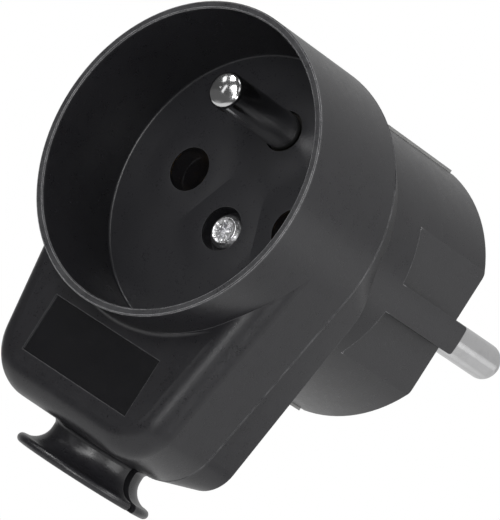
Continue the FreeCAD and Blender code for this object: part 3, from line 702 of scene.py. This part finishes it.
def addCylinder(plan, radius, depth, z):
    deselectAll()
    bpy.ops.mesh.primitive_cylinder_add(
        vertices=plan["sides"], radius=radius, depth=depth, location=(0, 0, z))
    bpy.ops.object.transform_apply(location=True, rotation=False, scale=False)
    return bpy.context.object


def screwHead(plan):
    head = addCylinder(plan, plan["headRadius"], plan["headEdge"], plan["headEdge"] / 2)
    editFaces()
    pickFaces(head, facesUp)
    rest = plan["headHeight"] - plan["headEdge"]
    for rise, inset in plan["domeSteps"]:
        extrudeBy(rise, 1.0 - inset / plan["headRadius"])
        rest -= rise
    extrudeBy(rest, plan["topShare"])
    if plan["worn"]:
        grooveTop(head, plan)
    bpy.ops.object.mode_set(mode="OBJECT")
    if plan["bevel"]:
        applyModifier(head, "BEVEL", {
            "width": plan["bevel"], "segments": plan["bevelSegments"], "limit_method": "ANGLE"})
    return head


def grooveTop(head, plan):
    # a shallow dish with radial grooves that a slipping tool has left
    extrudeBy(-plan["dishDepth"], plan["dishShare"])
    extrudeBy(0.0, plan["middleShare"])
    picks = random.Random(plan["grooveSeed"])
    grooved = [picks.random() < plan["grooveChance"] for step in range(plan["sides"])]
    innerShare, outerShare = plan["grooveReach"]
    dish = plan["headRadius"] * plan["dishShare"]

    def inGroove(middle, normal):
        reach = math.hypot(middle.x, middle.y)
        sector = int((math.atan2(middle.y, middle.x) / (2 * math.pi) % 1.0) * plan["sides"])
        onRing = dish * plan["middleShare"] * innerShare < reach < dish * outerShare
        return normal.z > plan["grooveLevel"] and onRing and grooved[sector]

    pickFaces(head, inGroove)
    extrudeBy(-plan["grooveDepth"])


def cutDrive(head, plan):
    # one tapering bar for each arm pair of the drive
    depth = plan["driveDepth"] + plan["driveOver"]
    middle = plan["headHeight"] + plan["driveOver"] - depth / 2
    taper = plan["driveTaper"]
    for turn in plan["driveTurns"]:
        deselectAll()
        bpy.ops.mesh.primitive_cube_add(size=1.0, location=(0, 0, middle))
        bar = bpy.context.object
        bar.scale = (plan["driveLength"], plan["driveWidth"], depth)
        bar.rotation_euler = (0, 0, math.radians(plan["driveTurn"] + turn))
        bpy.ops.object.transform_apply(location=True, rotation=True, scale=True)
        editFaces()
        pickFaces(bar, facesDown)
        bpy.ops.transform.resize(value=(taper, taper, 1.0), center_override=(0, 0, 0))
        bpy.ops.object.mode_set(mode="OBJECT")
        combine(head, bar, "DIFFERENCE")


def wearHead(head, plan):
    # a soft, lumpy surface from fine noise
    applyModifier(head, "REMESH", {"mode": "VOXEL", "voxel_size": plan["voxel"]})
    lumps = bpy.data.textures.new("wornMetal", "CLOUDS")
    lumps.noise_scale = plan["lumpSize"]
    lumps.noise_depth = plan["lumpDepth"]
    applyModifier(head, "DISPLACE", {
        "texture": lumps, "strength": plan["lumpHeight"], "mid_level": 0.5})


def screwShank(plan, length):
    # a core with a drawn-in tip below and a neck that goes into the head
    core = plan["shankRadius"] - plan["threadDepth"]
    shank = addCylinder(plan, core, length, -length / 2)
    editFaces()
    pickFaces(shank, facesDown)
    bpy.ops.transform.translate(value=(0, 0, core / 2))
    extrudeBy(-core / 2, plan["tipShare"], -length)
    pickFaces(shank, facesUp)
    bpy.ops.transform.translate(value=(0, 0, plan["neck"]))
    bpy.ops.object.mode_set(mode="OBJECT")
    return shank


def screwThread(plan, length):
    # a three-cornered section turned along the shank
    turns = int((length - plan["shankRadius"] - plan["pitch"]) / plan["pitch"])
    section = plan["threadDepth"] * plan["threadShare"]
    deselectAll()
    bpy.ops.mesh.primitive_circle_add(
        vertices=3, radius=section, fill_type="NOTHING", rotation=(math.pi / 2, math.pi / 2, 0),
        location=(plan["shankRadius"] - section, 0, -plan["threadStart"] - turns * plan["pitch"]))
    thread = bpy.context.object
    bpy.ops.object.transform_apply(location=True, rotation=True, scale=True)
    applyModifier(thread, "SCREW", {
        "axis": "Z", "steps": plan["threadSteps"], "render_steps": plan["threadSteps"],
        "iterations": turns, "screw_offset": plan["pitch"], "use_merge_vertices": True,
        "merge_threshold": plan["threadMerge"]})
    bpy.ops.object.mode_set(mode="EDIT")
    bpy.ops.mesh.select_all(action="SELECT")
    bpy.ops.mesh.fill_holes(sides=0)
    bpy.ops.mesh.select_all(action="SELECT")
    bpy.ops.mesh.normals_make_consistent(inside=False)
    bpy.ops.object.mode_set(mode="OBJECT")
    return thread


def weldSlivers(shape, reach):
    # the slivers that joining leaves are closed up
    chooseOnly(shape)
    bpy.ops.object.mode_set(mode="EDIT")
    bpy.ops.mesh.select_mode(type="VERT")
    bpy.ops.mesh.select_all(action="SELECT")
    bpy.ops.mesh.remove_doubles(threshold=reach)
    bpy.ops.mesh.dissolve_degenerate(threshold=reach)
    bpy.ops.mesh.quads_convert_to_tris()
    bpy.ops.object.mode_set(mode="OBJECT")


def makeScrew(plan, name, nodeName):
    # as long as the node that it stands for
    low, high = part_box(nodeName)
    length = high.y - low.y - plan["headHeight"]
    screw = screwHead(plan)
    cutDrive(screw, plan)
    if plan["worn"]:
        wearHead(screw, plan)
    shank = screwShank(plan, length)
    combine(shank, screwThread(plan, length), "UNION")
    combine(screw, shank, "UNION")
    weldSlivers(screw, plan["weldReach"])
    screw.name = name
    screw.data.name = name
    return screw


def fitScrew(screw, plan, nodeName, bodyName):
    # the head faces the front, its top where the node's head ends
    low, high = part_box(nodeName)
    height = max(vertex.co.z for vertex in screw.data.vertices)
    chooseOnly(screw)
    screw.rotation_euler = (math.pi / 2, 0, 0)
    screw.location = ((low.x + high.x) / 2, low.y + height, (low.z + high.z) / 2)
    bpy.ops.object.transform_apply(location=True, rotation=True, scale=True)
    bpy.ops.object.shade_smooth_by_angle(angle=math.radians(plan["smoothAngle"]))
    screw.data.materials.clear()
    screw.data.materials.append(zincSteel)
    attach(screw, bodyName)
    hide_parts(nodeName)


# each screw is a body of its own, named like its node
fitScrew(makeScrew(centreScrewPlan, "crossScrew", "centre_screw"),
         centreScrewPlan, "centre_screw", "centre_screw")
for start, plan, places in (("terminal_screw", terminalScrewPlan, ("left", "right", "earth")),
                            ("clamp_screw", clampScrewPlan, ("left", "right"))):
    first = makeScrew(plan, start + "Model", start + "_left")
    for place in places:
        copy = first.copy()
        copy.data = first.data.copy()
        copy.name = "slottedScrew_" + start.split("_")[0] + "_" + place
        scene.collection.objects.link(copy)
        fitScrew(copy, plan, start + "_" + place, start + "_" + place)
    removeShape(first)
print("screws made")


# floor, world and lamps

studioPlan = {
    "floorDrop": 0.12,
    "floorSize": 1.6,
    "floorColour": (0.80, 0.80, 0.80, 1.0),
    "floorPaleColour": (0.83, 0.83, 0.83, 1.0),
    "floorNoise": (8.0, 2.0, 0.5),
    "floorRough": 0.9,
    "worldColour": (0.30, 0.30, 0.305, 1.0),
    "whiteColour": (1.0, 1.0, 1.0, 1.0),
    # what gloss sees of the wall: the direction's Y where it starts and is full, and both levels
    "wallReach": (0.10, 0.60),
    "roomLevel": 0.09,
    "wallLevel": 0.58,
    # what gloss sees of the floor: near the object, farther off, and behind the object
    "tableLevel": 0.9,
    "tableReach": (0.17, 0.23),
    "tableFarLevel": 0.14,
    "tableBackLevel": 0.72,
    "tableBack": (0.02, 0.20),
    "lampDistance": 0.80,
    "lamps": [
        # name, azimuth, elevation, turn, width, height, power
        ("sideSoftbox", 87.0, 0.0, 0.0, 0.50, 0.30, 2.70),
        ("sideSoftboxHigh", 100.0, 40.0, 0.0, 0.30, 0.30, 2.20),
        ("backSoftbox", 135.0, 0.0, 0.0, 0.30, 0.30, 0.22),
        ("edgeStrip", 50.0, 0.0, 0.0, 0.30, 0.30, 0.75),
        ("frontStrip", 25.0, 0.0, 0.0, 0.24, 0.44, 3.00),
        ("edgeStripHigh", 60.0, 40.0, 0.0, 0.30, 0.30, 0.44),
        ("topSoftbox", 30.0, 80.0, 0.0, 0.30, 0.30, 0.61),
        ("windowUpperLeft", -57.0, 24.0, 70.0, 0.12, 0.28, 0.30),
        ("windowUpperRight", -41.0, 43.0, 70.0, 0.15, 0.28, 2.00),
        ("windowLowerLeft", -26.0, 2.0, 0.0, 0.12, 0.42, 0.24),
        ("windowLowerRight", 8.0, 18.0, 64.0, 0.20, 0.46, 1.65),
    ],
}


def makeWorld(plan):
    # plain soft light; the camera sees white all round, and gloss a white wall behind the object
    world = bpy.data.worlds.new("studioWorld")
    scene.world = world
    world.use_nodes = True
    tree = world.node_tree
    tree.nodes.clear()
    output = tree.nodes.new("ShaderNodeOutputWorld")
    path = addNode(tree, "ShaderNodeLightPath").outputs
    direction = splitPoint(tree, addNode(tree, "ShaderNodeTexCoord").outputs["Generated"])
    wall = rangeNode(tree, direction["Y"], *plan["wallReach"], plan["roomLevel"], plan["wallLevel"])
    level = mathNode(tree, "MAXIMUM", path["Is Camera Ray"], wall)
    seen = mathNode(tree, "MAXIMUM", path["Is Camera Ray"], path["Is Glossy Ray"])
    seen = mathNode(tree, "MAXIMUM", seen, path["Is Transmission Ray"])
    soft = addNode(tree, "ShaderNodeBackground", inputs={
        "Color": plan["worldColour"], "Strength": 1.0})
    white = addNode(tree, "ShaderNodeBackground", inputs={
        "Color": plan["whiteColour"], "Strength": level})
    tree.links.new(mixShaders(tree, seen, soft, white).outputs[0], output.inputs["Surface"])


def makeFloor(plan):
    deselectAll()
    bpy.ops.mesh.primitive_plane_add(size=plan["floorSize"], location=(0, 0, -plan["floorDrop"]))
    floor = bpy.context.object
    floor.name = "studioFloor"
    material, tree, shader = newMaterial("paleFloor")
    output = next(node for node in tree.nodes if node.type == "OUTPUT_MATERIAL")
    point = objectPoint(tree)
    tint = noiseNode(tree, point, *plan["floorNoise"])
    tree.links.new(mixColour(tree, tint, plan["floorColour"], plan["floorPaleColour"]),
                   shader.inputs["Base Color"])
    shader.inputs["Roughness"].default_value = plan["floorRough"]
    # gloss sees a white table that ends not far from the object, and the pale floor behind it
    reach = vectorNode(tree, "LENGTH", point).outputs["Value"]
    near = rangeNode(tree, reach, *plan["tableReach"], plan["tableLevel"], 0.0)
    behind = rangeNode(tree, splitPoint(tree, point)["Y"], *plan["tableBack"],
                       plan["tableFarLevel"], plan["tableBackLevel"])
    glow = addNode(tree, "ShaderNodeEmission", inputs={
        "Color": plan["whiteColour"], "Strength": mathNode(tree, "MAXIMUM", near, behind)})
    glossy = addNode(tree, "ShaderNodeLightPath").outputs["Is Glossy Ray"]
    above = mixShaders(tree, glossy, shader, glow)
    # from below the floor is clear, so the object is seen through it
    clear = addNode(tree, "ShaderNodeBsdfTransparent")
    below = addNode(tree, "ShaderNodeNewGeometry").outputs["Backfacing"]
    tree.links.new(mixShaders(tree, below, above, clear).outputs[0], output.inputs["Surface"])
    floor.data.materials.append(material)


def addLamp(distance, name, azimuth, elevation, turn, width, height, power):
    data = bpy.data.lights.new(name, "AREA")
    data.shape = "RECTANGLE"
    data.size = width
    data.size_y = height
    data.energy = power
    lamp = bpy.data.objects.new(name, data)
    scene.collection.objects.link(lamp)
    aimFrom(lamp, azimuth, elevation, turn, distance)


makeWorld(studioPlan)
makeFloor(studioPlan)
for lampPlan in studioPlan["lamps"]:
    addLamp(studioPlan["lampDistance"], *lampPlan)
scene.view_settings.view_transform = "Standard"
print("studio set")
